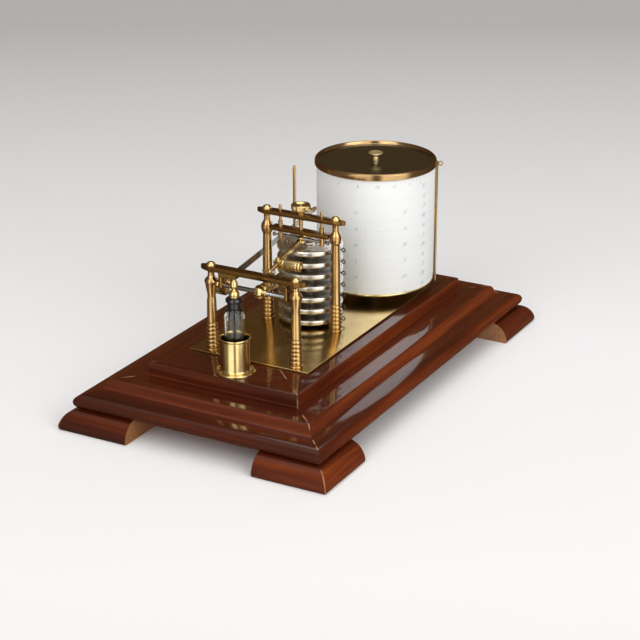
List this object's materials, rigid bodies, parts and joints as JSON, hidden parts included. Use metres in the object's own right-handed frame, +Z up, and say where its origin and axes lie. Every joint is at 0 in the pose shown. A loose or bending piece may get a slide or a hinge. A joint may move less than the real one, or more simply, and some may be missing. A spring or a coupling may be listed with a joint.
{
  "type": "barograph",
  "caption": "Recording barometer: aneroid capsule stack, lever linkage and pen arm writing on a clockwork chart drum, on a moulded mahogany plinth.",
  "frame": {"origin": "centre of the plinth on the resting plane", "axes": "+Z up, +X along the plinth towards the ink cup, -X towards the chart drum, -Y the side the pen arm runs along"},
  "size_m": [0.3654, 0.2214, 0.1575],
  "materials": {
    "mahogany": "deep red-brown French polish, glossy",
    "polished_brass": "polished and lacquered",
    "dark_brass": "polished, toned darker",
    "steel": "bright turned and fine brushed",
    "nickel_silver": "bright spun sheet",
    "chart_paper": "matt printed paper",
    "clear_glass": "clear",
    "black_stopper": "glossy black"
  },
  "bodies": {
    "base": {"lower_board": "mahogany", "upper_board": "mahogany", "bracket_foot_cup_end_front": "mahogany", "bracket_foot_cup_end_back": "mahogany", "bracket_foot_drum_end_front": "mahogany", "bracket_foot_drum_end_back": "mahogany", "base_plate": "polished_brass", "tall_frame_pillar_front": "polished_brass", "tall_frame_pillar_back": "polished_brass", "tall_frame_bar": "polished_brass", "tall_frame_nut_front": "polished_brass", "tall_frame_nut_back": "polished_brass", "short_frame_pillar_front": "polished_brass", "short_frame_pillar_back": "polished_brass", "short_frame_bar": "polished_brass", "short_frame_nut_front": "polished_brass", "short_frame_nut_back": "polished_brass", "arbor_cock_front": "dark_brass", "arbor_cock_back": "dark_brass", "drum_spindle": "steel", "fixed_wheel": "polished_brass", "lifter_foot": "polished_brass", "ink_cup": "polished_brass", "capsule_1": "nickel_silver"},
    "drum": {"drum": "polished_brass", "chart": "chart_paper", "clock_frame": "polished_brass"},
    "lid": {"drum_lid": "polished_brass", "lid_knob": "polished_brass"},
    "clip": {"chart_clip": "polished_brass"},
    "pinion": {"drive_pinion": "steel"},
    "barrel": {"mainspring_barrel": "polished_brass"},
    "winder": {"winding_arbor": "steel"},
    "setting": {"setting_bar": "dark_brass", "guide_pin_front": "polished_brass", "guide_pin_back": "polished_brass", "setting_screw": "polished_brass", "pivot_screw_front": "steel", "pivot_screw_back": "steel"},
    "nut": {"setting_nut": "polished_brass"},
    "lever": {"upper_arbor": "steel", "main_lever": "polished_brass"},
    "clamp": {"range_clamp": "polished_brass"},
    "thumbscrew": {"range_screw": "polished_brass"},
    "link": {"drop_link": "steel"},
    "pen_axis": {"pen_arbor": "steel", "pen_crank": "polished_brass", "arm_gate": "polished_brass"},
    "arm": {"pen_arm": "steel", "pen": "polished_brass"},
    "lifter": {"lifter_rod": "polished_brass"},
    "bottle": {"ink_bottle": "clear_glass"},
    "stopper": {"ink_stopper": "black_stopper", "stopper_knob": "polished_brass"},
    "capsule_body_2": {"capsule_2": "nickel_silver"},
    "capsule_body_3": {"capsule_3": "nickel_silver"},
    "capsule_body_4": {"capsule_4": "nickel_silver"},
    "capsule_body_5": {"capsule_5": "nickel_silver"},
    "capsule_body_6": {"capsule_6": "nickel_silver"},
    "capsule_body_7": {"capsule_7": "nickel_silver"}
  },
  "joints": [
    {"name": "drum_spin", "type": "hinge", "parent": "base", "child": "drum", "pos_m": [-0.084, 0.0109, 0.1], "axis": [0, 0, 1], "range_deg": [-176, 162]},
    {"name": "lid_lift", "type": "slide", "parent": "drum", "child": "lid", "axis": [0, 0, 1], "range_m": [0, 0.05]},
    {"name": "chart_clip_pull", "type": "slide", "parent": "drum", "child": "clip", "axis": [-0.4617, 0.887, 0], "range_m": [0, 0.03]},
    {"name": "pinion_turn", "type": "hinge", "parent": "drum", "child": "pinion", "pos_m": [-0.09459, -0.00365, 0.07], "axis": [0, 0, 1], "continuous": true},
    {"name": "barrel_turn", "type": "hinge", "parent": "drum", "child": "barrel", "pos_m": [-0.107, 0.0169, 0.068], "axis": [0, 0, 1], "continuous": true},
    {"name": "winding_turn", "type": "hinge", "parent": "drum", "child": "winder", "pos_m": [-0.107, 0.0169, 0.08], "axis": [0, 0, 1], "continuous": true},
    {"name": "setting_nut_turn", "type": "hinge", "parent": "base", "child": "nut", "pos_m": [0.018, 0.0005, 0.138], "axis": [0, 0, 1], "range_deg": [-720, 720]},
    {"name": "setting_bar_slide", "type": "slide", "parent": "base", "child": "setting", "axis": [0, 0, 1], "range_m": [-0.0012, 0.0012]},
    {"name": "lever_tilt", "type": "hinge", "parent": "setting", "child": "lever", "pos_m": [0.018, 0.0005, 0.1154], "axis": [0, 1, 0], "range_deg": [-7, 3.4]},
    {"name": "range_clamp_slide", "type": "slide", "parent": "lever", "child": "clamp", "axis": [0.9741, 0, -0.2261], "range_m": [-0.01, 0.005]},
    {"name": "range_screw_turn", "type": "hinge", "parent": "clamp", "child": "thumbscrew", "pos_m": [0.0529, 0.01, 0.1069], "axis": [0, 1, 0], "continuous": true},
    {"name": "drop_link_swing", "type": "hinge", "parent": "lever", "child": "link", "pos_m": [0.0654, 0.0038, 0.104], "axis": [0, 1, 0], "range_deg": [-9.1, 18.5]},
    {"name": "pen_arbor_turn", "type": "hinge", "parent": "base", "child": "pen_axis", "pos_m": [0.0926, 0.0025, 0.0986], "axis": [0, 1, 0], "range_deg": [-5.95, 12.2]},
    {"name": "pen_arm_swing", "type": "hinge", "parent": "pen_axis", "child": "arm", "pos_m": [0.08, -0.0343, 0.0915], "axis": [0, 0, 1], "range_deg": [0, 4]},
    {"name": "pen_lift", "type": "hinge", "parent": "base", "child": "lifter", "pos_m": [-0.03, -0.032, 0.0516], "axis": [1, 0, 0], "range_deg": [0, 7]},
    {"name": "ink_bottle_lift", "type": "slide", "parent": "base", "child": "bottle", "axis": [0, 0, 1], "range_m": [0, 0.05]},
    {"name": "stopper_lift", "type": "slide", "parent": "bottle", "child": "stopper", "axis": [0, 0, 1], "range_m": [0, 0.045]},
    {"name": "capsule_2_rise", "type": "slide", "parent": "base", "child": "capsule_body_2", "axis": [0, 0, 1], "range_m": [-0.0002867, 0.0001417]},
    {"name": "capsule_3_rise", "type": "slide", "parent": "base", "child": "capsule_body_3", "axis": [0, 0, 1], "range_m": [-0.0005733, 0.0002833]},
    {"name": "capsule_4_rise", "type": "slide", "parent": "base", "child": "capsule_body_4", "axis": [0, 0, 1], "range_m": [-0.00086, 0.00042]},
    {"name": "capsule_5_rise", "type": "slide", "parent": "base", "child": "capsule_body_5", "axis": [0, 0, 1], "range_m": [-0.00115, 0.00057]},
    {"name": "capsule_6_rise", "type": "slide", "parent": "base", "child": "capsule_body_6", "axis": [0, 0, 1], "range_m": [-0.00143, 0.00071]},
    {"name": "capsule_7_rise", "type": "slide", "parent": "base", "child": "capsule_body_7", "axis": [0, 0, 1], "range_m": [-0.00172, 0.00085]}
  ],
  "couplings": [
    {"joint": "pinion_turn", "follows": "drum_spin", "ratio": 5},
    {"joint": "barrel_turn", "follows": "drum_spin", "ratio": -2},
    {"joint": "setting_nut_turn", "follows": "setting_bar_slide", "rad_per_m": 10472},
    {"joint": "drop_link_swing", "follows": "lever_tilt", "ratio": -2.6},
    {"joint": "pen_arbor_turn", "follows": "lever_tilt", "ratio": -1.72},
    {"joint": "pen_arm_swing", "follows": "pen_lift", "ratio": 0.482},
    {"joint": "capsule_2_rise", "follows": "lever_tilt", "m_per_rad": 0.00225},
    {"joint": "capsule_3_rise", "follows": "lever_tilt", "m_per_rad": 0.0045},
    {"joint": "capsule_4_rise", "follows": "lever_tilt", "m_per_rad": 0.00675},
    {"joint": "capsule_5_rise", "follows": "lever_tilt", "m_per_rad": 0.009},
    {"joint": "capsule_6_rise", "follows": "lever_tilt", "m_per_rad": 0.01125},
    {"joint": "capsule_7_rise", "follows": "lever_tilt", "m_per_rad": 0.0135}
  ]
}
